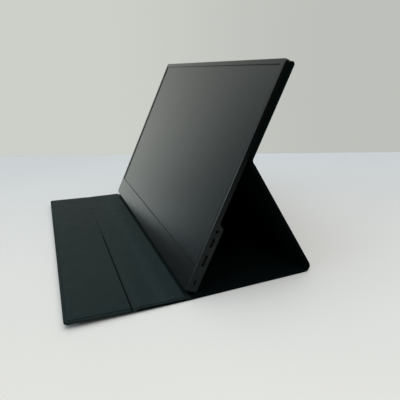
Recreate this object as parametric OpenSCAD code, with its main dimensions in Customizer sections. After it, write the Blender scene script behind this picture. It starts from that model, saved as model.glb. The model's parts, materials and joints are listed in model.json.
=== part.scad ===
// Portable monitor standing in its folding cover.
//
// X runs across the screen, Y from the cover's front edge back to the foot of
// the stand, and Z up from the table.  The cover lies on the table in three
// boards, curls up round the spine into a leg, and folds again behind the
// monitor into the panel that holds it.
//
// Points in the side view are [y, z] pairs measured from the foot corner, where
// the underside of the base and the outside of the leg would meet if the spine
// did not round them off.

/* [Screen] */
// Width of the visible picture
screen_w = 344.2; // [300:0.2:380]
// Height of the visible picture
screen_h = 193.6; // [170:0.2:220]
// Border left, right and above the picture
bezel = 5.4; // [4.6:0.1:9]
// Chin below the picture
chin = 25; // [22:0.5:32]

/* [Monitor shell] */
// Thickness of the upper part
thin_t = 5.2; // [4.9:0.1:6.4]
// Thickness of the electronics housing along the lower edge
housing_t = 10.8; // [10.2:0.1:13]
// Height of the electronics housing
housing_h = 70; // [69.5:0.5:90]
// Height of the slope where the housing meets the upper part
step_h = 4; // [2:0.5:4]
// Corner radius of the shell, seen from the front
corner_r = 3; // [1:0.5:6]
// Radius along the housing's lower rear edge
edge_r = 1.5; // [0.5:0.5:3]
// Depth of the front bezel, from the face to the seam with the rear cover
bezel_t = 1.6; // [1.2:0.1:2]
// Thickness of the lip that frames the picture
lip_t = 0.6; // [0.4:0.1:0.9]
// Side wall of the shell
wall = 1.5; // [1:0.1:2]
// Back wall of the shell
back_wall = 1.2; // [0.8:0.1:1.4]

/* [Display stack] */
// Border of the display glass hidden under the lip
glass_border = 2.6; // [1.5:0.1:3]
// Extra glass hidden under the chin
glass_foot = 9; // [6:0.5:12]
// Thickness of the tape between lip and glass
tape_t = 0.2; // [0.1:0.1:0.4]
// Thickness of the display glass
glass_t = 1.2; // [0.8:0.1:1.3]
// Thickness of the diffuser films
film_t = 0.3; // [0.2:0.1:0.4]
// Thickness of the light guide
guide_t = 0.7; // [0.5:0.1:0.8]
// Thickness of the reflector
reflector_t = 0.2; // [0.1:0.1:0.3]
// Sheet thickness of the display's metal tray
tray_t = 0.4; // [0.3:0.1:0.5]
// Height of the lamp strip under the light guide
lamp_h = 3; // [2:0.5:4]

/* [Electronics] */
// Thickness of the circuit boards
pcb_t = 1; // [0.6:0.1:1.2]
// Width of the main board
board_w = 110; // [90:1:140]
// Gap between the housing's slope and the top of the main board
board_gap = 1; // [1:0.5:3]
// Height of the main board's lower edge above the monitor's lower edge
board_z = 20; // [18:0.5:21]
// Radius of the screw shanks
screw_r = 0.95; // [0.7:0.05:1.2]
// Radius of the screw heads
screw_head_r = 1.8; // [1.5:0.1:2.2]
// Radius of the screw bosses
boss_r = 2.6; // [2.2:0.1:3.2]
// Clearance round pieces that slide or drop into place
fit = 0.1; // [0.05:0.05:0.15]

/* [Sockets] */
// Distance of the USB socket's centre below the top of the housing
usb_drop = 18.8; // [17:0.2:24]
// Long side of the USB socket's shell
usb_l = 8.94; // [8.8:0.02:9.2]
// Short side of the USB socket's shell
usb_s = 3.26; // [3.2:0.02:3.4]
// Height of the video socket's centre
video_z = 33; // [30:0.5:35]
// Long side of the video socket's shell
video_l = 11.2; // [10.6:0.1:11.8]
// Short side of the video socket's shell
video_s = 3; // [2.8:0.1:3.2]
// Distance of the audio socket's centre below the top of the housing
audio_drop = 7.8; // [7.6:0.2:9]
// Radius of the audio socket's hole
audio_r = 1.8; // [1.75:0.05:1.9]
// Depth of the sockets from the side of the monitor
socket_d = 7.5; // [6.5:0.1:9]
// Height of the sound slots' centre
slot_z = 10.7; // [8:0.1:12]
// Length of the sound slots
slot_l = 5; // [4:0.5:6]
// Width of the sound slots
slot_s = 1.4; // [0.8:0.1:1.8]

/* [Buttons] */
// Height of the power button's centre
power_z = 52; // [48:0.5:56]
// Length of the power button
power_l = 8; // [6:0.5:10]
// Height of the menu rocker's centre
rocker_z = 32; // [30:0.5:34]
// Length of the menu rocker
rocker_l = 20; // [16:0.5:22]
// Width of both buttons
button_w = 2.4; // [2:0.1:3]
// How far the buttons stand out of the side
button_out = 0.5; // [0.3:0.1:0.8]
// Travel of the power button
button_travel = 0.3; // [0.2:0.05:0.4]

/* [Cover] */
// How far the cover reaches past each side of the monitor
cover_margin = 3.6; // [2:0.1:8]
// Thickness of the outer skin
skin_t = 0.8; // [0.6:0.1:1]
// Thickness of the stiffening boards
board_t = 1.6; // [1.2:0.1:2.2]
// Thickness of the lining
lining_t = 0.8; // [0.6:0.1:1]
// Turned edge of the skin round each board
rim = 3; // [2:0.1:5]
// Edge of each board beside a fold
fold_rim = 1.5; // [1:0.1:2.5]
// Edge of skin left bare round the lining
hem = 1; // [0.5:0.1:1.8]
// Radius of the cover's outer corners
cover_r = 4; // [2:0.5:8]
// Length of the front flap
flap_l = 57.2; // [45:0.1:70]
// Length of the middle board
middle_l = 42.3; // [35:0.1:55]
// Width of the grooves between the boards
groove_w = 8; // [7.5:0.1:10]
// Lift of the middle board off the table
middle_lift = 1.8; // [0:0.1:2]
// Lift of the front flap off the table
flap_lift = 3; // [2:0.1:3.2]

/* [Stand] */
// Angle between the screen and the table
tilt = 62.6; // [62:0.1:64]
// Angle between the leg and the table
leg_angle = 61; // [60:0.1:62]
// Length of the leg, from the foot corner to the back fold
leg_l = 140; // [136:0.5:144]
// Outer radius of the curled spine
curl_r = 6.2; // [5:0.1:8]
// Distance from the monitor's resting edge to the groove in front of it
groove_lead = 2; // [1:0.5:4]
// Gap left between the monitor's resting edge and the cover
rest_gap = 0.3; // [0.2:0.1:0.6]

/* [Magnets] */
// Radius of the round magnets in the back panel
magnet_r = 6; // [4:0.5:8]
// Length of the bar magnets in the front flap
bar_magnet_l = 20; // [10:1:30]
// Width of the bar magnets in the front flap
bar_magnet_w = 5; // [4:0.5:8]

/* [Hidden] */
$fn = 48;
arc_fn = 32;

// Monitor
mon_w = screen_w + 2 * bezel;
mon_h = chin + screen_h + bezel;
side_x = mon_w / 2;
inner_x = side_x - wall;
glass_w = screen_w + 2 * glass_border;
glass_z0 = chin - glass_foot;
glass_z1 = chin + screen_h + glass_border;

// Depths from the front face, layer by layer
glass_y = lip_t + tape_t;
film_y = glass_y + glass_t;
guide_y = film_y + film_t;
reflector_y = guide_y + guide_t;
tray_y = reflector_y + reflector_t;
tray_back = tray_y + tray_t;
thin_inner = thin_t - back_wall;
housing_inner = housing_t - back_wall;
tray_clear = 0.1;
lamp_gap = 0.3;

// Sockets, boards and buttons share one depth
port_y = housing_t / 2;
board_y = port_y + usb_s / 2;
board_x0 = inner_x - board_w - 1.5;
board_x1 = inner_x - 1.5;
board_h = housing_h - step_h - board_gap - board_z;
audio_z = housing_h - audio_drop;
usb_z = housing_h - usb_drop;
socket_x = side_x - 0.4;
audio_body = 4.6;
audio_body_y = tray_back + 0.1;
audio_y = audio_body_y + audio_body / 2;
audio_half = 2.8;
audio_nose = 1.4;
audio_l = socket_d + 4;
audio_x0 = socket_x - audio_nose - audio_l;
screw_inset = 4;
screw_head_t = 0.6;
screw_xs = [board_x0 + screw_inset, audio_x0 - screw_inset];
screw_zs = [board_z + screw_inset, board_z + board_h - screw_inset];
speaker = [30, 4.4, 13];
speaker_x = inner_x - speaker.x / 2 - 1.5;
speaker_z = wall + 1;
speaker_y = housing_inner - speaker.y - fit;
driver = [180, 0.8, 11];
driver_x = -20;
ribbon_w = 24;
ribbon_t = 0.3;
ribbon_inset = 22;
ribbon_x = board_x0 + ribbon_inset;
ribbon_z = glass_z0 - 0.55 * driver.z;
button_flange_t = 0.6;
power_gap = 0.1;
rocker_gap = 0.25;
button_clear = 0.2;
key_x = -inner_x + 2;
key_z = 20;
key_drop = 8;
key_board = [10, pcb_t, housing_h - key_drop - key_z];
switch_d = 5;
switch_w = 3.4;
switch_gap = 0.1;

// Cover
cover_w = mon_w + 2 * cover_margin;
panel_t = skin_t + board_t + lining_t;
strip_t = skin_t + lining_t;
strip_gap = 0.1;
half_groove = groove_w / 2;

// Side view, measured from the foot corner
tangent = curl_r / tan(leg_angle / 2);
curl = [-tangent, curl_r];
leg_dir = [-cos(leg_angle), sin(leg_angle)];
leg_in = [-sin(leg_angle), -cos(leg_angle)];
back_fold = leg_l * leg_dir;
up = [cos(tilt), sin(tilt)];
front = [-sin(tilt), cos(tilt)];
heel_line = back_fold + (thin_t + panel_t - housing_t) * front;
heel_z = panel_t + rest_gap - edge_r * (up.y + front.y - 1);
heel = heel_line + (heel_z - heel_line.y) / up.y * up;
toe = heel + housing_t * front;
fold_height = (back_fold - toe) * up;
stand_groove = [heel.x - groove_lead - half_groove, 0];
reading_groove = stand_groove
    + (middle_l + groove_w) * [-cos(middle_lift), sin(middle_lift)];
front_y = reading_groove.x - (half_groove + flap_l) * cos(flap_lift);
rear_y = curl.x + curl_r;
foot_y = -(front_y + rear_y) / 2;
base_l = -stand_groove.x - half_groove - tangent;
leg_panel_l = leg_l - tangent - half_groove;
back_panel_l = mon_h - fold_height - half_groove;

// ---- Placing ----

// Screen frame: X across, Y into the monitor from its face, Z up the face
module at_screen() {
    translate([0, foot_y + toe.x, toe.y]) rotate([tilt - 90, 0, 0]) children();
}

// Board frames: Y along the board away from the foot, Z from skin to lining
module at_base() {
    translate([0, foot_y, 0]) rotate([0, 0, 180]) children();
}

module at_lifted(groove, lift) {
    translate([0, foot_y + groove.x, groove.y])
        rotate([0, 0, 180]) rotate([lift, 0, 0]) children();
}

module at_leg() {
    translate([0, foot_y, 0]) rotate([180 - leg_angle, 0, 0]) children();
}

module at_back() {
    translate([0, foot_y + back_fold.x, back_fold.y]) rotate([tilt, 0, 0]) children();
}

// Extrudes a front outline into the monitor, from depth y0 to depth y1
module depth_extrude(y0, y1) {
    translate([0, y1, 0]) rotate([90, 0, 0]) linear_extrude(y1 - y0) children();
}

// Extrudes a side outline, drawn as [y, z], across the width w
module side_extrude(w) {
    rotate([90, 0, 90]) translate([0, 0, -w / 2]) linear_extrude(w) children();
}

// ---- Outlines ----

module round_rect(w, z0, z1, r) {
    translate([-w / 2 + r, z0]) square([w - 2 * r, z1 - z0]);
    translate([-w / 2, z0 + r]) square([w, z1 - z0 - 2 * r]);
    for (x = [-w / 2 + r, w / 2 - r], z = [z0 + r, z1 - r]) translate([x, z]) circle(r);
}

module pill(l, s) {
    square([s, l - s], center = true);
    for (k = [-1, 1]) translate([0, k * (l - s) / 2]) circle(s / 2);
}

// Outline of a board whose far corners may be round
module board_outline(w, l, r) {
    translate([-w / 2, 0]) square([w, l - r]);
    if (r > 0) {
        translate([-w / 2 + r, 0]) square([w - 2 * r, l]);
        for (k = [-1, 1]) translate([k * (w / 2 - r), l - r]) circle(r);
    }
}

// Side outline of the shell behind the bezel
module shell_side(inset, thin_depth, housing_depth, r) {
    top = housing_h - inset;
    difference() {
        union() {
            translate([bezel_t, inset]) square([thin_depth - bezel_t, mon_h - 2 * inset]);
            translate([bezel_t, inset + r])
                square([housing_depth - bezel_t, top - step_h - inset - r]);
            translate([bezel_t, inset]) square([housing_depth - bezel_t - r, r + 0.01]);
            translate([housing_depth - r, inset + r]) circle(r);
            polygon([[bezel_t, top - step_h - 0.01], [housing_depth, top - step_h - 0.01],
                [housing_depth, top - step_h], [thin_depth, top], [bezel_t, top]]);
        }
        translate([0, -1]) square([bezel_t, mon_h + 2]);
    }
}

// ---- Monitor ----

module front_bezel() {
    color("#17191a") at_screen() {
        difference() {
            depth_extrude(0, bezel_t) round_rect(mon_w, 0, mon_h, corner_r);
            depth_extrude(-1, lip_t + 1)
                translate([-screen_w / 2, chin]) square([screen_w, screen_h]);
            depth_extrude(lip_t, bezel_t + 1)
                round_rect(mon_w - 2 * wall, wall, mon_h - wall, max(corner_r - wall, 0.3));
        }
    }
}

module socket_openings() {
    clear = 2 * button_clear;
    translate([inner_x - 1, 0, 0]) rotate([90, 0, 90]) linear_extrude(wall + 2) {
        translate([port_y, usb_z]) pill(usb_l + clear, usb_s + clear);
        translate([board_y - video_s / 2, video_z])
            square([video_s + clear, video_l + clear], center = true);
        translate([audio_y, audio_z]) circle(audio_r + 0.8);
        translate([port_y, slot_z]) pill(slot_l, slot_s);
    }
}

module button_openings() {
    clear = 2 * button_clear;
    translate([-side_x - 1, 0, 0]) rotate([90, 0, 90]) linear_extrude(wall + 2) {
        translate([port_y, power_z]) pill(power_l + clear, button_w + clear);
        translate([port_y, rocker_z]) pill(rocker_l + clear, button_w + clear);
        translate([port_y, slot_z]) pill(slot_l, slot_s);
    }
}

module screw_boss_at(x, z) {
    translate([x, board_y + pcb_t, z]) rotate([-90, 0, 0])
        difference() {
            cylinder(r = boss_r, h = housing_inner - board_y - pcb_t + 0.4);
            translate([0, 0, -1]) cylinder(r = screw_r + fit / 2, h = housing_inner - board_y);
        }
}

module rear_cover() {
    color("#1b1d1f") at_screen() {
        difference() {
            intersection() {
                side_extrude(mon_w) shell_side(0, thin_t, housing_t, edge_r);
                depth_extrude(bezel_t, housing_t) round_rect(mon_w, 0, mon_h, corner_r);
            }
            side_extrude(2 * inner_x)
                shell_side(wall, thin_inner, housing_inner, max(edge_r - back_wall, 0.2));
            socket_openings();
            button_openings();
        }
        for (x = screw_xs, z = screw_zs) screw_boss_at(x, z);
    }
}

module display_outline() {
    translate([-glass_w / 2, glass_z0]) square([glass_w, glass_z1 - glass_z0]);
}

module bezel_tape() {
    color("#303030") at_screen() difference() {
        depth_extrude(lip_t, lip_t + tape_t) display_outline();
        depth_extrude(lip_t - 1, lip_t + tape_t + 1)
            translate([-screen_w / 2 - 0.5, chin - 0.5]) square([screen_w + 1, screen_h + 1]);
    }
}

module display_glass() {
    color("#2b2f33") at_screen() depth_extrude(glass_y, glass_y + glass_t) display_outline();
}

// A sheet inside the tray, above height z0
module tray_sheet(y, t, z0) {
    inset = tray_t + tray_clear;
    at_screen() depth_extrude(y, y + t)
        translate([-glass_w / 2 + inset, z0])
            square([glass_w - 2 * inset, glass_z1 - inset - z0]);
}

module diffuser_films() {
    color("white") tray_sheet(film_y, film_t, glass_z0 + tray_t + tray_clear);
}

module light_guide() {
    color("#dfe9ee") tray_sheet(guide_y, guide_t, glass_z0 + tray_t + lamp_h + lamp_gap);
}

module reflector_sheet() {
    color("#e8e8e8") tray_sheet(reflector_y, reflector_t, glass_z0 + tray_t + tray_clear);
}

module lamp_strip() {
    color("#e9e2b8") at_screen()
        translate([-glass_w / 2 + tray_t + tray_clear, guide_y, glass_z0 + tray_t + tray_clear])
            cube([glass_w - 2 * (tray_t + tray_clear), guide_t, lamp_h]);
}

module display_tray() {
    color("#a9adb0") at_screen() difference() {
        depth_extrude(film_y, tray_back) display_outline();
        depth_extrude(film_y - 1, tray_y)
            translate([-glass_w / 2 + tray_t, glass_z0 + tray_t])
                square([glass_w - 2 * tray_t, glass_z1 - glass_z0 - 2 * tray_t]);
    }
}

module display_driver_board() {
    color("#1d5a34") at_screen()
        translate([driver_x - driver.x / 2, glass_y, glass_z0 - driver.z]) cube(driver);
}

// Flat cable from the driver board back to the main board's lower edge
module display_ribbon() {
    y0 = glass_y + driver.y;
    y1 = board_y;
    color("#c9b26a") at_screen() translate([ribbon_x, 0, 0]) side_extrude(ribbon_w)
        polygon([[y0, ribbon_z], [y1 + ribbon_t, ribbon_z], [y1 + ribbon_t, board_z],
            [y1, board_z], [y1, ribbon_z + ribbon_t], [y0, ribbon_z + ribbon_t]]);
}

module tray_tapes() {
    color("#3c3c3c") at_screen() for (k = [-1, 1])
        translate([k * (glass_w / 2 - 12) - 4, tray_back, housing_h + 4])
            cube([8, thin_inner - tray_back, glass_z1 - housing_h - 12]);
}

// The upper corner is cut out for the audio socket, which is deeper than the rest
module main_board() {
    color("#1d5a34") at_screen() difference() {
        translate([board_x0, board_y, board_z]) cube([board_w, pcb_t, board_h]);
        translate([audio_x0 - fit, board_y - 1, audio_z - audio_half - fit])
            cube([board_w, pcb_t + 2, board_h]);
        for (x = screw_xs, z = screw_zs) translate([x, board_y - 1, z]) rotate([-90, 0, 0])
            cylinder(r = screw_r + fit, h = pcb_t + 2);
    }
}

chip = [14, 1.1, 14];
shield = [40, 2, 30];
shield_x = board_x0 + 34;
shield_z = board_z + 7;
shield_wall = 0.3;

module video_processor() {
    color("#222222") at_screen()
        translate([shield_x + (shield.x - chip.x) / 2, board_y - chip.y,
            shield_z + (shield.z - chip.z) / 2]) cube(chip);
}

module processor_shield() {
    color("#b9bcc0") at_screen() translate([shield_x, board_y - shield.y, shield_z])
        difference() {
            cube(shield);
            translate([shield_wall, shield_wall, shield_wall])
                cube([shield.x - 2 * shield_wall, shield.y, shield.z - 2 * shield_wall]);
        }
}

// A metal socket shell along X with a tongue inside, mouth at the shell's side
module socket_shell(l, s, tongue) {
    shell = 0.3;
    translate([socket_x - socket_d, 0, 0]) rotate([90, 0, 90]) {
        difference() {
            linear_extrude(socket_d) children();
            translate([0, 0, 1]) linear_extrude(socket_d)
                intersection() {
                    translate([0, 0]) square([s - 2 * shell, l - 2 * shell], center = true);
                    children();
                }
        }
        translate([-0.35, -tongue / 2, 0.9]) cube([0.7, tongue, socket_d - 2]);
    }
}

module usb_socket() {
    color("#9a9da1") at_screen() translate([0, port_y, usb_z])
        socket_shell(usb_l, usb_s, 6.6) pill(usb_l, usb_s);
}

module video_socket() {
    color("#9a9da1") at_screen() translate([0, board_y - video_s / 2, video_z])
        socket_shell(video_l, video_s, 8) square([video_s, video_l], center = true);
}

module audio_socket() {
    color("#101010") at_screen() translate([audio_x0, 0, audio_z]) difference() {
        union() {
            translate([0, audio_body_y, -audio_half]) cube([audio_l, audio_body, 2 * audio_half]);
            translate([audio_l, audio_y, 0]) rotate([0, 90, 0])
                cylinder(r = audio_r + 0.5, h = audio_nose);
        }
        translate([1, audio_y, 0]) rotate([0, 90, 0])
            cylinder(r = audio_r, h = audio_l + audio_nose);
    }
}

module main_board_screws() {
    color("#8d9093") at_screen() for (x = screw_xs, z = screw_zs)
        translate([x, board_y - screw_head_t, z]) rotate([-90, 0, 0]) {
            cylinder(r = screw_head_r, h = screw_head_t);
            cylinder(r = screw_r, h = housing_inner - board_y + screw_head_t - 0.6);
        }
}

module speaker(x) {
    color("#141414") at_screen() translate([x - speaker.x / 2, speaker_y, speaker_z])
        difference() {
            cube(speaker);
            translate([speaker.x / 2, 1, speaker.z / 2]) rotate([90, 0, 0])
                cylinder(r = speaker.z / 2 - 1.5, h = 3);
        }
}

module speaker_right() { speaker(speaker_x); }

module speaker_left() { speaker(-speaker_x); }

module key_board() {
    color("#1d5a34") at_screen() translate([key_x, board_y, key_z]) cube(key_board);
    color("#1b1d1f") at_screen() for (z = [key_z + 3, key_z + key_board.z - 3])
        translate([key_x + 5, board_y + pcb_t, z]) rotate([-90, 0, 0])
            cylinder(r = boss_r - 0.6, h = housing_inner - board_y - pcb_t);
}

module key_switches() {
    reach = 0.2;
    color("#c7c7c7") at_screen()
        for (z = [power_z, rocker_z - rocker_l / 3, rocker_z + rocker_l / 3]) {
            front_x = z == power_z
                ? -inner_x + power_gap + button_flange_t + button_travel + switch_gap
                : -inner_x + rocker_gap + button_flange_t + 0.6;
            translate([front_x + reach, board_y - 2 * (board_y - port_y), z - switch_w / 2])
                cube([switch_d, 2 * (board_y - port_y), switch_w]);
            translate([front_x, port_y - 0.6, z - 0.8]) cube([reach, 1.2, 1.6]);
        }
}

// A pill-shaped cap through the side wall, with a flange inside that keeps it in
module side_button(l, flange_l, gap) {
    stem = wall + gap + button_out;
    translate([-side_x - button_out, port_y, 0]) rotate([90, 0, 90]) {
        linear_extrude(stem + button_flange_t) pill(l, button_w);
        translate([0, 0, stem]) linear_extrude(button_flange_t) pill(flange_l, button_w + 1.2);
    }
}

module power_button() {
    color("#24272a") at_screen() translate([0, 0, power_z])
        side_button(power_l, power_l + 1.6, power_gap);
}

module menu_rocker() {
    color("#24272a") at_screen() translate([0, 0, rocker_z])
        side_button(rocker_l, 5, rocker_gap);
}

// ---- Cover ----

// Each board of the cover has three layers: an outer skin with a turned edge,
// a stiffening board in its tray, and a lining on top.  r rounds the far
// corners of a free edge; a board with r = 0 has a fold at both ends.
function end_rim(r) = r > 0 ? rim : fold_rim;

module board_solid(l, r, grow) {
    translate([0, fold_rim - grow, skin_t])
        linear_extrude(board_t + grow)
            board_outline(cover_w - 2 * rim + 2 * grow,
                l - fold_rim - end_rim(r) + 2 * grow, r > rim ? r - rim : 0);
}

module skin_layer(l, r) {
    color("#202629") difference() {
        linear_extrude(skin_t + board_t) board_outline(cover_w, l, r);
        board_solid(l, r, 0.01);
    }
}

module board_layer(l, r) {
    color("#6d6658") board_solid(l, r, 0);
}

module lining_layer(l, r) {
    color("#2d3436") translate([0, hem, skin_t + board_t])
        linear_extrude(lining_t) board_outline(cover_w - 2 * hem, l - 2 * hem, max(r - hem, 0));
}

module in_base() { at_base() translate([0, tangent, 0]) children(); }
module in_middle() { at_lifted(stand_groove, middle_lift) translate([0, half_groove, 0]) children(); }
module in_flap() { at_lifted(reading_groove, flap_lift) translate([0, half_groove, 0]) children(); }
module in_leg() { at_leg() translate([0, tangent, 0]) children(); }
module in_back() { at_back() translate([0, half_groove, 0]) children(); }

module base_skin() { in_base() skin_layer(base_l, 0); }
module base_board() { in_base() board_layer(base_l, 0); }
module base_lining() { in_base() lining_layer(base_l, 0); }

module middle_skin() { in_middle() skin_layer(middle_l, 0); }
module middle_board() { in_middle() board_layer(middle_l, 0); }
module middle_lining() { in_middle() lining_layer(middle_l, 0); }

module flap_skin() { in_flap() skin_layer(flap_l, cover_r); }
module flap_lining() { in_flap() lining_layer(flap_l, cover_r); }

module leg_skin() { in_leg() skin_layer(leg_panel_l, 0); }
module leg_board() { in_leg() board_layer(leg_panel_l, 0); }
module leg_lining() { in_leg() lining_layer(leg_panel_l, 0); }

module back_skin() { in_back() skin_layer(back_panel_l, cover_r); }
module back_lining() { in_back() lining_layer(back_panel_l, cover_r); }

// Places of the magnets, in the boards' own frames
bar_magnet_y = flap_l - rim - bar_magnet_w - 3;
bar_magnet_xs = [-0.32 * cover_w, 0.32 * cover_w];
round_magnets = [for (x = [-1, 0, 1], y = [0.27, 0.73]) [x * 0.36 * cover_w, y * back_panel_l]];

module flap_board() {
    in_flap() difference() {
        board_layer(flap_l, cover_r);
        for (x = bar_magnet_xs) translate([x - bar_magnet_l / 2 - fit, bar_magnet_y - fit, skin_t - 1])
            cube([bar_magnet_l + 2 * fit, bar_magnet_w + 2 * fit, board_t + 2]);
    }
}

module flap_magnets() {
    color("#b7babd") in_flap() for (x = bar_magnet_xs)
        translate([x - bar_magnet_l / 2, bar_magnet_y, skin_t])
            cube([bar_magnet_l, bar_magnet_w, board_t]);
}

module back_board() {
    in_back() difference() {
        board_layer(back_panel_l, cover_r);
        for (p = round_magnets) translate([p.x, p.y, skin_t - 1])
            cylinder(r = magnet_r + fit, h = board_t + 2);
    }
}

module back_magnets() {
    color("#b7babd") in_back() for (p = round_magnets)
        translate([p.x, p.y, skin_t]) cylinder(r = magnet_r, h = board_t);
}

// ---- Folds ----

// Skin and lining run on without a board where the cover bends
module spine_strip() {
    turn = 180 - leg_angle;
    trim = strip_gap / curl_r * 180 / PI;
    color("#202629") translate([0, foot_y + curl.x, curl.y])
        rotate([90, 0, 90]) rotate([0, 0, trim - 90])
            translate([0, 0, -cover_w / 2]) rotate_extrude(angle = turn - 2 * trim)
                translate([curl_r - strip_t, 0]) square([strip_t, cover_w]);
}

module back_fold_strip() {
    reach = half_groove - strip_gap;
    inner = back_fold + strip_t * (leg_in + front) / (1 + leg_in * front);
    leg_end = back_fold - reach * leg_dir;
    back_end = back_fold + reach * up;
    color("#202629") translate([0, foot_y, 0]) side_extrude(cover_w)
        polygon([back_fold, leg_end, leg_end + strip_t * leg_in, inner,
            back_end + strip_t * front, back_end]);
}

module groove_strip() {
    color("#202629") translate([-cover_w / 2, strip_gap - half_groove, 0])
        cube([cover_w, groove_w - 2 * strip_gap, strip_t]);
}

module stand_groove_strip() { at_lifted(stand_groove, 0) groove_strip(); }

module reading_groove_strip() { at_lifted(reading_groove, middle_lift) groove_strip(); }

front_bezel();
rear_cover();
bezel_tape();
display_glass();
diffuser_films();
light_guide();
reflector_sheet();
display_tray();
lamp_strip();
display_driver_board();
display_ribbon();
tray_tapes();
main_board();
video_processor();
processor_shield();
usb_socket();
video_socket();
audio_socket();
main_board_screws();
speaker_right();
speaker_left();
key_board();
key_switches();
power_button();
menu_rocker();
base_skin();
base_board();
base_lining();
middle_skin();
middle_board();
middle_lining();
flap_skin();
flap_board();
flap_lining();
flap_magnets();
leg_skin();
leg_board();
leg_lining();
back_skin();
back_board();
back_lining();
back_magnets();
spine_strip();
back_fold_strip();
stand_groove_strip();
reading_groove_strip();
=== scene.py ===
"""Portable monitor standing in its folding cover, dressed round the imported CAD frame."""
import json
import math

import bmesh
import bpy
from mathutils import Matrix, Vector

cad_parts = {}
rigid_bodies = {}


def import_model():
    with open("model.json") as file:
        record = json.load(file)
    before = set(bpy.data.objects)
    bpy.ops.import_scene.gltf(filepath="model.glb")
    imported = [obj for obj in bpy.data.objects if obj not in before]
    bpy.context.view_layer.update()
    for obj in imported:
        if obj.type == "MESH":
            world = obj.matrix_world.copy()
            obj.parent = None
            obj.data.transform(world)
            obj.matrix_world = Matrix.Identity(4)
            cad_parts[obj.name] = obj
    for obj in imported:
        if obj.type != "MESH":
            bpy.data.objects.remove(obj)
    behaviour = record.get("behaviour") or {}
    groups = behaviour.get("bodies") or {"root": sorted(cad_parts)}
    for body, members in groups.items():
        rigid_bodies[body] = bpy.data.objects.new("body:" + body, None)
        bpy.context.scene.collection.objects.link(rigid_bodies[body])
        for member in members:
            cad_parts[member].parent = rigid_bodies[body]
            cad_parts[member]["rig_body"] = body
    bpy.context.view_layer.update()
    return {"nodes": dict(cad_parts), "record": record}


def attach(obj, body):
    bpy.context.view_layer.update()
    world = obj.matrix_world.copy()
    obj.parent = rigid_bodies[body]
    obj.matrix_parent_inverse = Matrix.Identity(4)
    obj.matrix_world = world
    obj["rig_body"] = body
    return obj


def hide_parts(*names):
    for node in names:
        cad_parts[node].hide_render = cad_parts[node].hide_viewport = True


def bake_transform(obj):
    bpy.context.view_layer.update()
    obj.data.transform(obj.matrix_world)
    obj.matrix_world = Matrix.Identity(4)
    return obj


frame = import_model()
nodes = frame["nodes"]
MM = 0.001

# ---- Sizes, repeated from the part's source in millimetres ----

SCREEN_W, SCREEN_H, BEZEL, CHIN = 344.2, 193.6, 5.4, 25.0
THIN_T, HOUSING_T, EDGE_R = 5.2, 10.8, 1.5
SKIN_T, BOARD_T, LINING_T = 0.8, 1.6, 0.8
FLAP_L, MIDDLE_L, GROOVE_W = 57.2, 42.3, 8.0
MIDDLE_LIFT, FLAP_LIFT = math.radians(1.8), math.radians(3.0)
TILT, LEG_ANGLE, LEG_L = math.radians(62.6), math.radians(61.0), 140.0
CURL_R, GROOVE_LEAD, REST_GAP = 6.2, 2.0, 0.3
COVER_MARGIN, COVER_R = 3.6, 4.0
HEM = 2.7                     # width of the skin's turned edge beside the lining

MON_W = SCREEN_W + 2 * BEZEL
MON_H = CHIN + SCREEN_H + BEZEL
PANEL_T = SKIN_T + BOARD_T + LINING_T
STRIP_T = SKIN_T + LINING_T
HALF_GROOVE = GROOVE_W / 2
COVER_HALF = MON_W / 2 + COVER_MARGIN


def side(angle):
    """Unit vector in the side view, as (y, z)."""
    return Vector((math.cos(angle), math.sin(angle)))


TANGENT = CURL_R / math.tan(LEG_ANGLE / 2)
CURL = Vector((-TANGENT, CURL_R))
LEG_DIR = side(math.pi - LEG_ANGLE)
BACK_FOLD = LEG_L * LEG_DIR
UP = side(TILT)
FRONT = side(TILT + math.pi / 2)
heel_line = BACK_FOLD + (THIN_T + PANEL_T - HOUSING_T) * FRONT
heel_z = PANEL_T + REST_GAP - EDGE_R * (UP.y + FRONT.y - 1)
HEEL = heel_line + (heel_z - heel_line.y) / UP.y * UP
TOE = HEEL + HOUSING_T * FRONT
STAND_GROOVE = Vector((HEEL.x - GROOVE_LEAD - HALF_GROOVE, 0.0))
READING_GROOVE = STAND_GROOVE + (MIDDLE_L + GROOVE_W) * side(math.pi - MIDDLE_LIFT)
FRONT_EDGE = READING_GROOVE + (HALF_GROOVE + FLAP_L) * side(math.pi - FLAP_LIFT)
FOOT_Y = -(FRONT_EDGE.x + CURL.x + CURL_R) / 2


def place(x, p):
    """Row-frame position in metres of a width x and a side-view point p."""
    return Vector((x, p.x + FOOT_Y, p.y)) * MM


def on_screen(x, depth, height):
    """Row-frame position of a point in the monitor's own frame, in millimetres."""
    return place(x, TOE + height * UP - depth * FRONT)


# ---- Materials ----

def set_range(node, low, high, to_low, to_high):
    """Limits of a Map Range node."""
    for key, number in (("From Min", low), ("From Max", high),
                        ("To Min", to_low), ("To Max", to_high)):
        node.inputs[key].default_value = number


def colours_of(sockets):
    return [socket for socket in sockets if socket.type == "RGBA"]


NOISE_LOW, NOISE_HIGH = 0.3, 0.7   # nearly all of a noise lies between these


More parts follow.
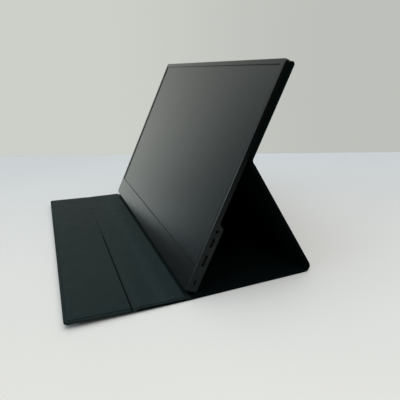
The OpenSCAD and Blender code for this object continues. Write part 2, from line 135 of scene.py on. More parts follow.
class Nodes:
    """Small helper that adds and links shader nodes."""

    def __init__(self, name):
        self.material = bpy.data.materials.new(name)
        self.material.use_nodes = True
        self.tree = self.material.node_tree
        self.shader = self.tree.nodes["Principled BSDF"]
        self.object = self.add("ShaderNodeTexCoord").outputs["Object"]

    def add(self, kind, **inputs):
        node = self.tree.nodes.new(kind)
        for key, value in inputs.items():
            self.put(node.inputs[int(key[1:]) if key[1:].isdigit() else key], value)
        return node

    def put(self, socket, value):
        if isinstance(value, bpy.types.NodeSocket):
            self.tree.links.new(value, socket)
        else:
            socket.default_value = value

    def noise(self, scale, detail=3.0, vector=None):
        node = self.add("ShaderNodeTexNoise", Scale=scale, Detail=detail)
        self.tree.links.new(vector or self.object, node.inputs["Vector"])
        return node.outputs["Fac"]

    def cells(self, scale, feature="F1"):
        node = self.add("ShaderNodeTexVoronoi", Scale=scale)
        node.feature = feature
        self.tree.links.new(self.object, node.inputs["Vector"])
        return node.outputs["Distance"]

    def math(self, operation, a, b=0.0):
        node = self.add("ShaderNodeMath", _0=a, _1=b)
        node.operation = operation
        return node.outputs[0]

    def ramp(self, value, low, high, to_low=0.0, to_high=1.0):
        node = self.add("ShaderNodeMapRange", Value=value)
        set_range(node, low, high, to_low, to_high)
        return node.outputs["Result"]

    def spread(self, noise, to_low=0.0, to_high=1.0):
        """A noise stretched to run between two values."""
        return self.ramp(noise, NOISE_LOW, NOISE_HIGH, to_low, to_high)

    def mix(self, factor, a, b):
        node = self.tree.nodes.new("ShaderNodeMix")
        node.data_type = "RGBA"
        self.put(node.inputs["Factor"], factor)
        for socket, colour in zip(colours_of(node.inputs), (a, b)):
            self.put(socket, colour)
        return colours_of(node.outputs)[0]

    def bump(self, height, strength, distance):
        node = self.add("ShaderNodeBump", Strength=strength, Distance=distance, Height=height)
        self.tree.links.new(node.outputs["Normal"], self.shader.inputs["Normal"])

    def edges(self):
        """1 along worn outer edges, 0 elsewhere."""
        return self.ramp(self.add("ShaderNodeNewGeometry").outputs["Pointiness"], *WORN)

    def set(self, **inputs):
        for key, value in inputs.items():
            self.put(self.shader.inputs[key.replace("_", " ")], value)


WORN = (0.52, 0.62)           # pointiness from which an edge starts to wear, and is worn
EDGE_AND_SHADE_ATTRIBUTE = "dark_edge_and_painted_shade"         # mesh attribute: 1 where the cover is darkest: dark outer edges, and painted shade in the crease, the hem's groove and the lining inside the stand
EDGE_AND_SHADE_LEFT = 0.2                    # share of the leather's colour that is left there


def shade(rgb, factor):
    return (*(min(c * factor, 1.0) for c in rgb), 1.0)


def leather(name, rgb, rough=0.58, grain=1400.0, gloss=0.08):
    """Imitation leather: pebbled grain, mottled colour, lighter worn edges, and darker outer edges
    and painted shade from a mesh attribute.
    """
    m = Nodes(name)
    pebbles = m.cells(grain)
    pores = m.cells(grain * 0.45)
    mottle = m.noise(28.0, 4.0)
    colour = m.mix(m.ramp(pebbles, 0.15, 0.75), shade(rgb, 1.06), shade(rgb, 0.80))
    colour = m.mix(m.ramp(mottle, 0.35, 0.65, 0.0, 0.35), colour, shade(rgb, 1.15))
    colour = m.mix(m.math("MULTIPLY", m.edges(), 0.35), colour, shade(rgb, 2.0))
    # Painted shade: the mesh attribute darkens the crease, the hem's groove and the lining inside
    # the stand; it also darkens the outer edges.
    painted_dark = m.tree.nodes.new("ShaderNodeAttribute")
    painted_dark.attribute_name = EDGE_AND_SHADE_ATTRIBUTE
    colour = m.mix(painted_dark.outputs["Fac"], colour, shade(rgb, EDGE_AND_SHADE_LEFT))
    m.set(Base_Color=colour, Specular_IOR_Level=gloss)
    m.set(Roughness=m.spread(m.noise(90.0), rough - 0.02, rough + 0.04))
    height = m.math("ADD", m.math("MULTIPLY", pebbles, -0.7), m.math("MULTIPLY", pores, -0.3))
    m.bump(m.math("ADD", height, m.math("MULTIPLY", m.noise(9.0, 1.0), 0.12)), 0.35, 0.00012)
    return m.material


def monitor_height(m):
    """Height up the monitor's front from its lower front edge, in metres."""
    split = m.add("ShaderNodeSeparateXYZ", Vector=m.object)
    toe = on_screen(0, 0, 0)
    along = m.math("ADD", m.math("MULTIPLY", split.outputs["Y"], UP.x),
                   m.math("MULTIPLY", split.outputs["Z"], UP.y))
    return m.math("SUBTRACT", along, toe.y * UP.x + toe.z * UP.y)


SPARK_SCALE = 2600.0          # fine pits of spark-eroded moulds
PLASTIC_WEAR = 0.5
DARKER_FROM, DARKER_TO = 0.05, 0.15   # metres up the monitor's front


def plastic(name, rgb, rough=0.4, texture=0.25, gloss=0.5, upper=1.0, uneven=0.035):
    """Moulded plastic: fine spark-eroded texture, faint mottling, lighter edges.

    The colour is multiplied by upper towards the monitor's top.
    """
    m = Nodes(name)
    speckle = m.noise(SPARK_SCALE, 2.0)
    mottle = m.noise(40.0, 3.0)
    colour = m.mix(m.spread(mottle), shade(rgb, 0.92), shade(rgb, 1.10))
    if upper != 1.0:
        up_there = m.ramp(monitor_height(m), DARKER_FROM, DARKER_TO)
        colour = m.mix(up_there, colour, shade(rgb, upper))
    colour = m.mix(m.math("MULTIPLY", m.edges(), PLASTIC_WEAR), colour, shade(rgb, 2.2))
    m.set(Base_Color=colour, Specular_IOR_Level=gloss)
    m.set(Roughness=m.spread(m.noise(60.0), rough - uneven, rough + uneven))
    m.bump(speckle, texture, 0.00002)
    return m.material


BRUSH_SCALE, FIBRE_SCALE, TOOTH_SCALE = 900.0, 700.0, 900.0


def metal(name, rgb, rough=0.3):
    """Plated or brushed metal with fine streaks."""
    m = Nodes(name)
    stretch = m.add("ShaderNodeMapping", Vector=m.object, Scale=(0.06, 1.0, 1.0))
    streak = m.noise(BRUSH_SCALE, 3.0, stretch.outputs["Vector"])
    m.set(Base_Color=m.mix(m.spread(streak), shade(rgb, 0.85), shade(rgb, 1.08)))
    m.set(Metallic=1.0, Roughness=m.spread(streak, rough - 0.06, rough + 0.08))
    m.bump(streak, 0.15, 0.00002)
    return m.material


def board(name, rgb):
    """Circuit board: solder mask over faint copper tracks."""
    m = Nodes(name)
    tracks = m.ramp(m.cells(260.0, "DISTANCE_TO_EDGE"), 0.03, 0.06)
    m.set(Base_Color=m.mix(tracks, shade(rgb, 1.7), shade(rgb, 1.0)), Roughness=0.35)
    m.bump(tracks, 0.3, 0.00003)
    return m.material


def fibre(name, rgb):
    """Pressed fibre board with long strands."""
    m = Nodes(name)
    stretch = m.add("ShaderNodeMapping", Vector=m.object, Scale=(0.2, 1.0, 1.0))
    strands = m.noise(FIBRE_SCALE, 5.0, stretch.outputs["Vector"])
    m.set(Base_Color=m.mix(m.spread(strands), shade(rgb, 0.75), shade(rgb, 1.2)))
    m.set(Roughness=0.9)
    m.bump(strands, 0.4, 0.0001)
    return m.material


BORDER, BORDER_EDGE = 0.9 * MM, 0.15 * MM   # black border round the active area, its edge
BORDER_RGBA = (0.003, 0.003, 0.0035, 1)
ACTIVE_RGBAS = (0.006, 0.0090, 0.0095, 1), (0.007, 0.0105, 0.0110, 1)


def display(name):
    """Unlit matt display: dark active area inside a black border, fine anti-glare haze."""
    m = Nodes(name)
    across = m.math("ABSOLUTE", m.add("ShaderNodeSeparateXYZ", Vector=m.object).outputs["X"])
    height = monitor_height(m)
    low, high = CHIN * MM + BORDER, (CHIN + SCREEN_H) * MM - BORDER
    side_edge = SCREEN_W / 2 * MM - BORDER
    inside = m.ramp(across, side_edge + BORDER_EDGE, side_edge)
    for outer, inner in ((low, low + BORDER_EDGE), (high, high - BORDER_EDGE)):
        inside = m.math("MULTIPLY", inside, m.ramp(height, outer, inner))
    haze = m.noise(5200.0, 1.0)
    cloud = m.noise(9.0, 3.0)
    active = m.mix(m.spread(cloud), *ACTIVE_RGBAS)
    m.set(Base_Color=m.mix(inside, BORDER_RGBA, active))
    m.set(Roughness=m.spread(haze, 0.24, 0.29), IOR=1.52)
    m.bump(haze, 0.10, 0.00002)
    return m.material


def matt(name, rgb, rough=0.6):
    """Plain sheet, film or rubber with a slight tooth."""
    m = Nodes(name)
    tooth = m.noise(TOOTH_SCALE, 2.0)
    m.set(Base_Color=m.mix(m.spread(tooth), shade(rgb, 0.93), shade(rgb, 1.05)), Roughness=rough)
    m.bump(tooth, 0.2, 0.00003)
    return m.material


LEATHER_RGB = (0.0105, 0.0185, 0.0195)
SKIN = leather("cover_leather", LEATHER_RGB)
# Leather without gloss, for faces darkened as painted shade or as dark outer edges.
LEATHER_DARK_AND_SHADED = leather("cover_leather_dark_edges_and_painted_shade", LEATHER_RGB, gloss=0.0)
LINING = leather("cover_lining_leather", LEATHER_RGB, rough=0.62, grain=1700.0)
BEZEL_BLACK = plastic("bezel_plastic", (0.006, 0.0068, 0.0072), rough=0.26, texture=0.03,
                      gloss=0.53, uneven=0.01)
SIDE_BLACK = plastic("shell_side_plastic", (0.0125, 0.0152, 0.0152), rough=0.55, texture=0.3,
                     gloss=0.05, upper=0.1)
SHELL_BLACK = plastic("shell_plastic", (0.0045, 0.005, 0.0054), rough=0.5, texture=0.2, gloss=0.12)
KEY_BLACK = plastic("key_plastic", (0.007, 0.0075, 0.008), rough=0.4, texture=0.15)
DISPLAY = display("display_panel")

LOOKS = {
    "shell_front": BEZEL_BLACK,
    "shell_rear": SHELL_BLACK,
    "display": DISPLAY,
    "button": KEY_BLACK,
    "cover_skin": SKIN,
    "cover_lining": LINING,
    "tape": matt("tape_rubber", (0.03, 0.03, 0.03), 0.75),
    "film": matt("diffuser_film", (0.80, 0.81, 0.82), 0.5),
    "light_guide": matt("light_guide_acrylic", (0.72, 0.78, 0.80), 0.2),
    "tray": metal("tray_sheet", (0.55, 0.56, 0.57), 0.35),
    "lamp": matt("lamp_resin", (0.80, 0.76, 0.50), 0.5),
    "circuit_board": board("circuit_board_mask", (0.015, 0.09, 0.035)),
    "ribbon": matt("ribbon_film", (0.42, 0.26, 0.06), 0.3),
    "chip": plastic("chip_resin", (0.015, 0.015, 0.015), 0.5),
    "shield": metal("shield_can", (0.60, 0.61, 0.62), 0.28),
    "socket": metal("socket_shell", (0.06, 0.062, 0.065), 0.42),
    "socket_plastic": plastic("socket_plastic", (0.010, 0.010, 0.011), 0.5),
    "screw": metal("screw_steel", (0.45, 0.45, 0.46), 0.3),
    "speaker": plastic("speaker_plastic", (0.012, 0.012, 0.012), 0.5),
    "switch": metal("switch_metal", (0.55, 0.55, 0.55), 0.3),
    "stiffener": fibre("stiffener_board", (0.20, 0.17, 0.12)),
    "magnet": metal("magnet_nickel", (0.60, 0.60, 0.62), 0.2),
}
slot_of = {s["node"]: s["material_slot"] for s in frame["record"]["subparts"]}
for name, obj in nodes.items():
    obj.data.materials.clear()
    obj.data.materials.append(LOOKS[slot_of[name]])


# ---- Building helpers ----

def new_object(name, data):
    obj = bpy.data.objects.new(name, data)
    bpy.context.scene.collection.objects.link(obj)
    return obj


def add_piece(name, mesh, material):
    obj = new_object(name, mesh)
    mesh.materials.clear()
    mesh.materials.append(material)
    return obj


def smooth(mesh, degrees):
    mesh.polygons.foreach_set("use_smooth", [True] * len(mesh.polygons))
    mesh.set_sharp_from_angle(angle=math.radians(degrees))


def apply_modifier(obj, name):
    bpy.context.view_layer.objects.active = obj
    with bpy.context.temp_override(object=obj, active_object=obj, selected_objects=[obj]):
        bpy.ops.object.modifier_apply(modifier=name)


OUTLINE_BAND = 3.2            # the monitor's outline with its corner arcs lies within this
FACE_TOLERANCE = 0.1          # how far behind the front face a point still counts as on it
BEVEL_ANGLE = math.radians(35)   # edges sharper than this are rounded
FLAT_ANGLE = math.radians(0.5)   # faces that meet at less than this are joined first


def on_outline(point):
    """True on the outline of the monitor's front face."""
    at = point / MM
    local = Vector((at.y - FOOT_Y, at.z)) - TOE
    height = local.dot(UP)
    inner = (abs(at.x) < MON_W / 2 - OUTLINE_BAND
             and OUTLINE_BAND < height < MON_H - OUTLINE_BAND)
    return local.dot(FRONT) > -FACE_TOLERANCE and not inner


def weigh_edges(mesh, inner_share):
    """Bevel weights: 1 on the outline of the front face, inner_share on other sharp edges."""
    bm = bmesh.new()
    bm.from_mesh(mesh)
    weight = bm.edges.layers.float.new("bevel_weight_edge")
    for edge in bm.edges:
        if len(edge.link_faces) == 2 and edge.calc_face_angle(0) > BEVEL_ANGLE:
            outer = all(on_outline(v.co) for v in edge.verts)
            edge[weight] = 1.0 if outer else inner_share
    bm.to_mesh(mesh)
    bm.free()


def softened(name, node, width, segments=3, inner_share=1.0):
    """A copy of a CAD node with its edges rounded over, standing in for the node.

    Edges that aren't on the monitor's outline get inner_share of the width.
    """
    mesh = nodes[node].data.copy()
    bm = bmesh.new()
    bm.from_mesh(mesh)
    bmesh.ops.remove_doubles(bm, verts=bm.verts, dist=1e-6)
    bmesh.ops.dissolve_limit(bm, angle_limit=FLAT_ANGLE, verts=bm.verts, edges=bm.edges)
    bm.to_mesh(mesh)
    bm.free()
    slot = slot_of[node]
    obj = add_piece(name, mesh, LOOKS[slot])
    bevel = obj.modifiers.new("bevel", "BEVEL")
    bevel.width = width * MM
    bevel.segments = segments
    bevel.use_clamp_overlap = inner_share == 1
    if inner_share < 1:
        bevel.limit_method = "WEIGHT"
        weigh_edges(mesh, inner_share)
    else:
        bevel.limit_method = "ANGLE"
        bevel.angle_limit = BEVEL_ANGLE
    apply_modifier(obj, "bevel")
    smooth(obj.data, 32)
    weighted = obj.modifiers.new("weighted", "WEIGHTED_NORMAL")
    weighted.keep_sharp = True
    apply_modifier(obj, "weighted")
    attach(obj, nodes[node]["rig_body"])
    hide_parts(node)
    return obj


# ---- The cover: one wrapped sheet, cut in the middle of its boards ----

class Line:
    def __init__(self, start, end):
        self.start = start
        self.length = (end - start).length
        self.dir = (end - start) / self.length
        self.inward = Vector((-self.dir.y, self.dir.x))

    def at(self, s):
        return self.start + s * self.dir, self.inward


class Arc:
    """Turns by a signed angle; left turns have their centre on the lining's side."""

    def __init__(self, centre, radius, start_angle, turn):
        self.centre, self.radius, self.start_angle = centre, radius, start_angle
        self.length = abs(turn) * radius
        self.sign = 1 if turn > 0 else -1

    def at(self, s):
        a = self.start_angle + self.sign * s / self.radius
        return self.centre + self.radius * side(a), -self.sign * side(a)


BACK_BEND_R = 3.0
bend = math.pi - LEG_ANGLE - TILT
bend_reach = BACK_BEND_R * math.tan(bend / 2)
bend_start = BACK_FOLD - bend_reach * LEG_DIR
bend_centre = bend_start - BACK_BEND_R * Vector((-LEG_DIR.y, LEG_DIR.x))
curl_end = CURL + CURL_R * side(math.pi / 2 - LEG_ANGLE)
PATH = [
    Line(FRONT_EDGE, READING_GROOVE),
    Line(READING_GROOVE, STAND_GROOVE),
    Line(STAND_GROOVE, Vector((CURL.x, 0.0))),
    Arc(CURL, CURL_R, -math.pi / 2, math.pi - LEG_ANGLE),
    Line(curl_end, bend_start),
    Arc(bend_centre, BACK_BEND_R, 1.5 * math.pi - LEG_ANGLE, -bend),
    Line(BACK_FOLD + bend_reach * UP, TOE + MON_H * UP - (THIN_T + PANEL_T) * FRONT),
]
marks = [0.0]
for element in PATH:
    marks.append(marks[-1] + element.length)
TOTAL = marks[-1]
BEND_MID = (marks[5] + marks[6]) / 2

# Folds as (start, end, ramp on the start side and on the end side, share of the full
# depth at the left and at the right)
FOLDS = [
    (marks[1] - HALF_GROOVE, marks[1] + HALF_GROOVE, 0.5, 7.4, 0.2, 0.95),
    (marks[2] - HALF_GROOVE, marks[2] + HALF_GROOVE, 1.6, 1.6, 1.0, 1.0),
    (marks[3], marks[4], 4.0, 4.0, 1.0, 1.0),
    (BEND_MID - HALF_GROOVE, BEND_MID + HALF_GROOVE, 1.6, 1.6, 1.0, 1.0),
]


FOLD_LAP = 0.4                # how far a fold's ramps start outside it


def on_path(s):
    """The point of the side view at s along the sheet, and the direction to its lining."""
    s = min(max(s, 0.0), TOTAL)
    for element, start, end in zip(PATH, marks, marks[1:]):
        if s <= end + 1e-9:
            return element.at(s - start)
    return PATH[-1].at(PATH[-1].length)


def ease(t):
    """Smooth step from 0 at t = 0 to 1 at t = 1."""
    t = min(max(t, 0.0), 1.0)
    return t * t * (3 - 2 * t)


def toward_right(x):
    """0 at the cover's left side, rising to 1 right of its middle."""
    return ease(x / COVER_HALF + 0.6)


def fold_mask(s, x):
    """0 over the boards, 1 where skin and lining run on without one."""
    mask = 0.0
    for start, end, ramp_in, ramp_out, left_depth, right_depth in FOLDS:
        depth = left_depth + (right_depth - left_depth) * toward_right(x)
        rising = ease((s - start + FOLD_LAP) / ramp_in)
        falling = ease((end + FOLD_LAP - s) / ramp_out)
        mask = max(mask, depth * min(rising, falling))
    return mask


PAINTED_SHADE_FROM = marks[2] + 1      # behind the monitor's toe the lining is painted black, as shade inside the stand
EDGE_ROUND = 1.3              # how far the rounded edge reaches in from the outline
HEM_DROP, HEM_GROOVE = 0.30, 0.55   # depth of the hem and of the groove beside it
GROOVE_FROM, GROOVE_TO, LIP_TO = HEM - 0.6, HEM + 0.3, HEM + 0.6
LIP_DROP = 0.08               # the lining dips this much beside the groove
HEM_FADE = 0.6                # share of the hem's depth that is lost over a fold
SKIN_SINK = 0.25              # how far the skin's outside sinks in over a fold
INSETS = [0.0, 0.06, 0.22, 0.48, 0.85, EDGE_ROUND]
INSETS += [HEM + step for step in (-0.8, -0.45, 0.1, 0.45, 0.8)]
COLUMNS = INSETS + [9.0, 25.0, 60.0, 100.0, 140.0]


def layer_offsets(s, x, inset):
    """Distances of the skin's outside and the lining's inside from the path."""
    mask = fold_mask(s, x)
    outer = SKIN_SINK * mask
    inner = PANEL_T - (PANEL_T - STRIP_T) * mask
    hem_scale = 1 - HEM_FADE * mask
    if inset < GROOVE_FROM:
        inner_top = inner - HEM_DROP * hem_scale
    elif inset < GROOVE_TO:
        inner_top = inner - HEM_GROOVE * hem_scale
    elif inset < LIP_TO:
        inner_top = inner - LIP_DROP
    else:
        inner_top = inner
    if inset < EDGE_ROUND:
        share = 1 - math.sqrt(max(1 - (1 - inset / EDGE_ROUND) ** 2, 0.0))
        half = (inner - HEM_DROP * hem_scale - outer) / 2
        outer += share * half
        inner_top = inner - HEM_DROP * hem_scale - share * half
    return outer, inner_top


# Painted shade in the hem's groove and along the crease. The outer edges are dark up to an inset
# and fade over a length, and less so on the front flap's sides.
HEM_PAINTED_SHADE, CREASE_PAINTED_SHADE, FLAP_EDGE_DARKNESS = 0.9, 1.0, 0.35
EDGE_DARK_IN, EDGE_DARK_FADE = 0.3, 0.5
# The crease's painted shade starts and ends here from the start of the front fold, over these
# lengths
CREASE_START, CREASE_RISE, CREASE_END, CREASE_FALL = -0.6, 0.3, 1.7, 0.8


def darkness_of_edges_and_shade(s, x, inset, along_side, lining):
    """How dark the cover is painted: dark outer edges, and painted shade in the hem's groove,
    along the crease and behind the monitor's toe.
    """
    edge = 1 - ease((inset - EDGE_DARK_IN) / EDGE_DARK_FADE)
    if along_side and s < marks[1]:
        edge *= FLAP_EDGE_DARKNESS
    if not lining:
        return edge
    # Painted shade: the lining inside the stand, behind the monitor's toe, is black.
    if s > PAINTED_SHADE_FROM:
        return 1.0
    # Painted shade in the hem's groove and along the crease.
    if along_side and GROOVE_FROM < inset < GROOVE_TO:
        edge = max(edge, HEM_PAINTED_SHADE)
    past = s - FOLDS[0][0]
    crease = CREASE_PAINTED_SHADE * toward_right(x) * ease((past - CREASE_START) / CREASE_RISE)
    return max(edge, crease * ease((CREASE_END - past) / CREASE_FALL))


def corner_place(d, e):
    """Where the grid point with insets d from the side and e from the free end lies."""
    r = COVER_R
    if d >= r or e >= r:
        return d, e
    if d <= e:
        a = math.pi / 4 * (r - e) / (r - d)
        return r - (r - d) * math.cos(a), r - (r - d) * math.sin(a)
    a = math.pi / 2 - math.pi / 4 * (r - d) / (r - e)
    return r - (r - e) * math.cos(a), r - (r - e) * math.sin(a)


def fill(a, b, step):
    """Values from a to b, no further apart than step, without b."""
    count = max(1, math.ceil((b - a) / step - 1e-9))
    return [a + (b - a) * i / count for i in range(count)]


BOARD_STEP, RAMP_STEP, FOLD_STEP = 14, 0.15, 0.6   # grid over boards, creases and folds
FOLD_MARGIN, NEAR_FOLD, CREASE_REACH = 2, 3, 0.6


def stations(start, end):
    """Places along the sheet, close together at folds and free ends."""
    places = INSETS[:] if start == 0 else [start]
    here = places[-1]
    for fold_start, fold_end, *_ in FOLDS:
        if fold_end + NEAR_FOLD < start or fold_start - NEAR_FOLD > end:
            continue
        places += fill(here, fold_start - FOLD_MARGIN, BOARD_STEP)[1:]
        places += fill(fold_start - FOLD_MARGIN, fold_start + CREASE_REACH, RAMP_STEP)
        places += fill(fold_start + CREASE_REACH, fold_end + FOLD_MARGIN, FOLD_STEP)
        here = fold_end + FOLD_MARGIN
    last = end - INSETS[-1] if end == TOTAL else end
    places += fill(here, last, BOARD_STEP)
    if end == TOTAL:
        places += [TOTAL - inset for inset in reversed(INSETS)]
    else:
        places.append(end)
    return places


FAR = 1e9                     # distance to the free end where a piece has none


def sheet_mesh(name, start, end):
    """Closed mesh of the wrapped sheet between two places along it."""
    rows = stations(start, end)
    left = [(-1, d) for d in COLUMNS]
    right = [(1, d) for d in reversed(COLUMNS)]
    columns = left + [(0, COVER_HALF)] + right
    verts, shade_values, outer_rows, inner_rows = [], [], [], []

    def add(x, s, offset, black):
        p, inward = on_path(s)
        verts.append(place(x, p + offset * inward))
        shade_values.append(black)
        return len(verts) - 1

    for s in rows:
        e = s if start == 0 else FAR
        if end == TOTAL:
            e = min(e, TOTAL - s)
        outer_row, inner_row = [], []
        for sign, d in columns:
            d_here, e_here = corner_place(d, e)
            s_here = s
            if e <= COVER_R:
                s_here = e_here if start == 0 and s < TOTAL / 2 else TOTAL - e_here
            inset = min(d, e)
            x = sign * (COVER_HALF - d_here)
            outer, inner = layer_offsets(s_here, x, inset)
            outer_row.append(add(x, s_here, outer, darkness_of_edges_and_shade(s, x, inset, d < e, False)))
            if inset < 1e-9:
                inner_row.append(outer_row[-1])
            else:
                inner_row.append(add(x, s_here, inner, darkness_of_edges_and_shade(s, x, inset, d < e, True)))
        outer_rows.append(outer_row)
        inner_rows.append(inner_row)

    faces = []

    def strip(row_a, row_b):
        for a, b, c, d in zip(row_a, row_a[1:], row_b[1:], row_b):
            face = []
            for v in (a, b, c, d):
                if v not in face:
                    face.append(v)
            if len(face) > 2:
                faces.append(face)

    for rows_here in (outer_rows, inner_rows):
        for row_a, row_b in zip(rows_here, rows_here[1:]):
            strip(row_a, row_b)
    for index in (0, -1):
        if outer_rows[index][3] != inner_rows[index][3]:
            strip(outer_rows[index], inner_rows[index])
    mesh = bpy.data.meshes.new(name)
    mesh.from_pydata([tuple(v) for v in verts], [], faces)
    attribute = mesh.attributes.new(EDGE_AND_SHADE_ATTRIBUTE, "FLOAT", "POINT")
    attribute.data.foreach_set("value", shade_values)
    bm = bmesh.new()
    bm.from_mesh(mesh)
    bmesh.ops.remove_doubles(bm, verts=bm.verts, dist=1e-7)
    bmesh.ops.recalc_face_normals(bm, faces=bm.faces)
    bm.to_mesh(mesh)
    bm.free()
    smooth(mesh, 40)
    return mesh


BLACK_SHARE = 0.4             # darkened more than this, by painted shade or dark outer edges, the leather has no gloss
CUTS = [0.0, (marks[1] + marks[2]) / 2, (marks[2] + marks[3]) / 2,
        (marks[4] + marks[5]) / 2, TOTAL]
WRAPS = [
    ("cover_front_wrap", "front_flap", "middle_flap", 0,
     ["flap_skin", "flap_lining", "reading_groove_strip"]),
    ("cover_middle_wrap", "middle_flap", "base", 1,
     ["middle_skin", "middle_lining", "stand_groove_strip"]),
    ("cover_spine_wrap", "base", "leg", 2, ["base_skin", "base_lining", "spine_strip"]),
    ("cover_back_wrap", "leg", "screen", 3,
     ["leg_skin", "leg_lining", "back_skin", "back_lining", "back_fold_strip"]),
]
for name, body_a, body_b, index, replaced in WRAPS:
    mesh = sheet_mesh(name, CUTS[index], CUTS[index + 1])
    wrap = add_piece(name, mesh, SKIN)
    mesh.materials.append(LEATHER_DARK_AND_SHADED)
    shade_values = mesh.attributes[EDGE_AND_SHADE_ATTRIBUTE].data
    for polygon in mesh.polygons:
        if min(shade_values[v].value for v in polygon.vertices) > BLACK_SHARE:
            polygon.material_index = 1
    start, end = FOLDS[index][:2]
    place(0, on_path(start)[0])
    place(0, on_path(end)[0])
    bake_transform(wrap)
    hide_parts(*replaced)

# ---- The monitor's visible pieces, with rounded edges ----

SIDE_FACING = 0.8             # faces turned this far to the side have the side plastic
front_frame = softened("monitor_front_frame", "front_bezel", 1.1, 5, inner_share=0.07)
rear_shell = softened("monitor_rear_shell", "rear_cover", 0.3)
for shell in (front_frame, rear_shell):
    shell.data.materials.append(SIDE_BLACK)
    for polygon in shell.data.polygons:
        if abs(polygon.normal.x) > SIDE_FACING:
            polygon.material_index = 1
softened("power_key", "power_button", 0.22)
softened("menu_key", "menu_rocker", 0.22)
softened("usb_port", "usb_socket", 0.08, 2)
softened("video_port", "video_socket", 0.08, 2)
softened("audio_port", "audio_socket", 0.15, 2)

# ---- Table, wall, light and camera ----

def stage_plane(name, corners, near_rgb, far_rgb, rough):
    """A plane whose colour turns from near_rgb to far_rgb towards the wall, as painted shade."""
    mesh = bpy.data.meshes.new(name)
    mesh.from_pydata(corners, [], [(0, 1, 2, 3)])
    obj = new_object(name, mesh)
    m = Nodes(name)
    towards_wall = m.tree.nodes.new("ShaderNodeVectorMath")
    towards_wall.operation = "DOT_PRODUCT"
    m.put(towards_wall.inputs[0], m.object)
    m.put(towards_wall.inputs[1], wall_out)
    distance = m.ramp(towards_wall.outputs["Value"], *TABLE_FADE)
    cloud = m.spread(m.noise(3.0, 2.0), 0.97, 1.0)
    tint = m.mix(distance, (*near_rgb, 1), (*far_rgb, 1))
    m.set(Base_Color=m.mix(cloud, (0, 0, 0, 1), tint), Roughness=rough, Specular_IOR_Level=0.1)
    mesh.materials.append(m.material)
    return obj


# Painted shade: the table turns darker and bluer towards the wall.
TABLE_FADE = (-0.25, 0.45)    # metres towards the wall over which the table's colour turns
TABLE_NEAR_RGB, TABLE_FAR_RGB, TABLE_ROUGH = (0.742, 0.711, 0.705), (0.665, 0.672, 0.72), 0.7
TABLE_SPAN, TABLE_DEPTH = 4.0, 6     # half its length along the wall, and its depth
TABLE_Z = -0.0001
# The table ends at a straight line where the photographed wall stands. There is no wall: past
# that line the camera sees the world, which shows it the wall's colour.
WALL_DISTANCE = 0.466
WALL_HEADING = math.radians(59.42)
wall_dir = Vector((math.cos(WALL_HEADING), math.sin(WALL_HEADING), 0))
wall_out = Vector((-wall_dir.y, wall_dir.x, 0))
wall_mid = WALL_DISTANCE * wall_out
near = wall_mid - TABLE_DEPTH * wall_out
down = Vector((0, 0, TABLE_Z))
along_wall = TABLE_SPAN * wall_dir
table_corners = (wall_mid - along_wall, wall_mid + along_wall,
                 near + along_wall, near - along_wall)
table = stage_plane("table_top", [tuple(corner + down) for corner in table_corners],
                    TABLE_NEAR_RGB, TABLE_FAR_RGB, TABLE_ROUGH)
table.visible_glossy = False   # the dark gloss mirrors the room, as in front of a narrow table

# The room, as strengths of its light. It is bright at the left and overhead.
SKY_TOP, SKY_LEFT, SKY_FRONT, SKY_RIGHT = 1.10, 1.13, 0.07, 0.3
SKY_WALL_SIDE = 0.6           # share of the light from the sides that the wall's side keeps
SKY_LOWER, SKY_UPPER = 1.2, 0.58   # share of the light at the sides, low down and higher up
SKY_WINDOW = 3.0              # band of light in front, which the monitor's edges catch
SKY_NEAR = 0.3                # low light from the side with the sockets
# Ranges of one component of the direction, over which the room changes: X points to the
# right, Y from the front to the back and Z up.
FRONT_TO_LEFT_Y, LOW_FRONT_TO_LEFT_Y, LOW_FRONT_Z = (-0.48, -0.25), (-0.50, -0.34), (-0.03, 0.07)
LEFT_TO_RIGHT_X, LOWER_TO_UPPER_Z, TO_WALL_SIDE_Y = (-0.6, 0.4), (-0.12, 0.36), (-0.12, 0.1)
WINDOW_Y, WINDOW_BOTTOM_Z, WINDOW_TOP_Z = (-0.84, -0.72), (0.19, 0.31), (0.42, 0.55)
NEAR_X, NEAR_Z = (0.3, 0.8), (0.10, 0.30)
OVERHEAD_Z, COOL_TO_WARM_Y = (0.30, 0.90), (-0.42, -0.26)
WALL_X, WALL_Y, WALL_Z, WALL_LEFT_TO_RIGHT_Y = (0.0, 0.3), (-0.12, 0.0), (0.30, 0.60), (0.12, 0.63)
# Painted light and shade: the wall is lighter at the left than at the right.
WALL_LEFT, WALL_RIGHT = (0.61, 0.63, 0.585, 1), (0.515, 0.53, 0.495, 1)
COOL, WARM = (0.80, 0.97, 1.02, 1), (0.98, 1.01, 0.93, 1)
world = bpy.data.worlds.new("studio")
bpy.context.scene.world = world
world.use_nodes = True
sky = world.node_tree
sky_direction = sky.nodes.new("ShaderNodeSeparateXYZ")
sky.links.new(sky.nodes.new("ShaderNodeTexCoord").outputs["Generated"], sky_direction.inputs[0])


def sky_ramp(axis, limits, to_low=0.0, to_high=1.0):
    """Smooth change of a value with one component of the direction."""
    node = sky.nodes.new("ShaderNodeMapRange")
    node.interpolation_type = "SMOOTHSTEP"
    set_range(node, *limits, to_low, to_high)
    sky.links.new(sky_direction.outputs[axis], node.inputs["Value"])
    return node.outputs["Result"]


def sky_math(operation, a, b):
    node = sky.nodes.new("ShaderNodeMath")
    node.operation = operation
    sky.links.new(a, node.inputs[0])
    sky.links.new(b, node.inputs[1])
    return node.outputs[0]


def product(*values):
    result = values[0]
    for value in values[1:]:
        result = sky_math("MULTIPLY", result, value)
    return result


def sky_mix(factor, a, b):
    node = sky.nodes.new("ShaderNodeMix")
    node.data_type = "RGBA"
    sky.links.new(factor, node.inputs["Factor"])
    for socket, colour in zip(colours_of(node.inputs), (a, b)):
        socket.default_value = colour
    return colours_of(node.outputs)[0]


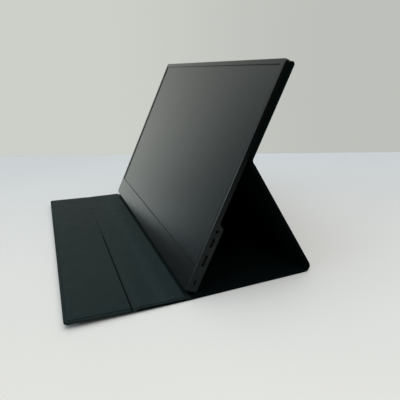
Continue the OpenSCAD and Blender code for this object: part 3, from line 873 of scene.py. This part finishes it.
low_front = product(sky_ramp("Y", LOW_FRONT_TO_LEFT_Y, 0.0, SKY_LEFT),
                    sky_ramp("Z", LOW_FRONT_Z, 1.0, 0.0))
front = sky_math("MAXIMUM", sky_ramp("Y", FRONT_TO_LEFT_Y, SKY_FRONT, SKY_LEFT), low_front)
sides = product(front,
                sky_ramp("X", LEFT_TO_RIGHT_X, 1.0, SKY_RIGHT),
                sky_ramp("Z", LOWER_TO_UPPER_Z, SKY_LOWER, SKY_UPPER),
                sky_ramp("Y", TO_WALL_SIDE_Y, 1.0, SKY_WALL_SIDE))
window = product(sky_ramp("Y", WINDOW_Y, SKY_WINDOW, 0.0),
                 sky_ramp("Z", WINDOW_BOTTOM_Z),
                 sky_ramp("Z", WINDOW_TOP_Z, 1.0, 0.0))
near_light = product(sky_ramp("X", NEAR_X, 0.0, SKY_NEAR), sky_ramp("Z", NEAR_Z, 1.0, 0.0))
strength = sky_math("MAXIMUM", sky_ramp("Z", OVERHEAD_Z, 0.0, SKY_TOP),
                    sky_math("MAXIMUM", sides, near_light))
light = sky.nodes["Background"]
sky.links.new(sky_math("MAXIMUM", strength, window), light.inputs["Strength"])
sky.links.new(sky_mix(sky_ramp("Y", COOL_TO_WARM_Y), COOL, WARM), light.inputs["Color"])
wall = sky.nodes.new("ShaderNodeBackground")
wall_colour = sky_mix(sky_ramp("Y", WALL_LEFT_TO_RIGHT_Y), WALL_LEFT, WALL_RIGHT)
sky.links.new(wall_colour, wall.inputs["Color"])
# Camera rays see the wall's colour everywhere. Gloss and glass see it only on the side where
# the wall stands, and mirror the room elsewhere.
rays = sky.nodes.new("ShaderNodeLightPath").outputs
wall_side = product(sky_ramp("X", WALL_X, 1.0, 0.0),
                    sky_ramp("Y", WALL_Y),
                    sky_ramp("Z", WALL_Z, 1.0, 0.0))
mirrored = sky_math("MAXIMUM", rays["Is Glossy Ray"], rays["Is Transmission Ray"])
wall_share = sky_math("MAXIMUM", rays["Is Camera Ray"], product(mirrored, wall_side))
seen = sky.nodes.new("ShaderNodeMixShader")
sky.links.new(wall_share, seen.inputs["Fac"])
sky.links.new(light.outputs[0], seen.inputs[1])
sky.links.new(wall.outputs[0], seen.inputs[2])
sky.links.new(seen.outputs[0], sky.nodes["World Output"].inputs["Surface"])


def area_light(name, location, target, size, power):
    data = bpy.data.lights.new(name, "AREA")
    data.shape = "SQUARE"
    data.size = size
    data.energy = power
    obj = new_object(name, data)
    obj.location = location
    obj.rotation_mode = "QUATERNION"
    obj.rotation_quaternion = (Vector(target) - Vector(location)).to_track_quat("-Z", "Y")


area_light("key_light", location=(0.9, -0.1, 1.5), target=(-0.1, 0.0, 0.05), size=1.2, power=10.5)

CAMERA_AT = Vector((497.32, -107.99, 206.44)) * MM
CAMERA_YAW, CAMERA_PITCH, CAMERA_ROLL = (math.radians(a) for a in (70.297, 18.368, -2.957))
FOCAL_SHARE = 413.93 / 400    # focal length over frame width
SENSOR_W = 36
forward = Vector((-math.sin(CAMERA_YAW) * math.cos(CAMERA_PITCH),
                  math.cos(CAMERA_YAW) * math.cos(CAMERA_PITCH), -math.sin(CAMERA_PITCH)))
right = Vector((math.cos(CAMERA_YAW), math.sin(CAMERA_YAW), 0))
above = right.cross(forward)
rolled_right = right * math.cos(CAMERA_ROLL) + above * math.sin(CAMERA_ROLL)
rolled_above = above * math.cos(CAMERA_ROLL) - right * math.sin(CAMERA_ROLL)
camera_data = bpy.data.cameras.new("camera")
camera_data.sensor_width = SENSOR_W
camera_data.lens = SENSOR_W * FOCAL_SHARE
camera_data.clip_start = 0.01
camera = new_object("camera", camera_data)
turn = Matrix((rolled_right, rolled_above, -forward)).transposed().to_4x4()
camera.matrix_world = Matrix.Translation(CAMERA_AT) @ turn
bpy.context.scene.camera = camera
bpy.context.scene.view_settings.view_transform = "Standard"
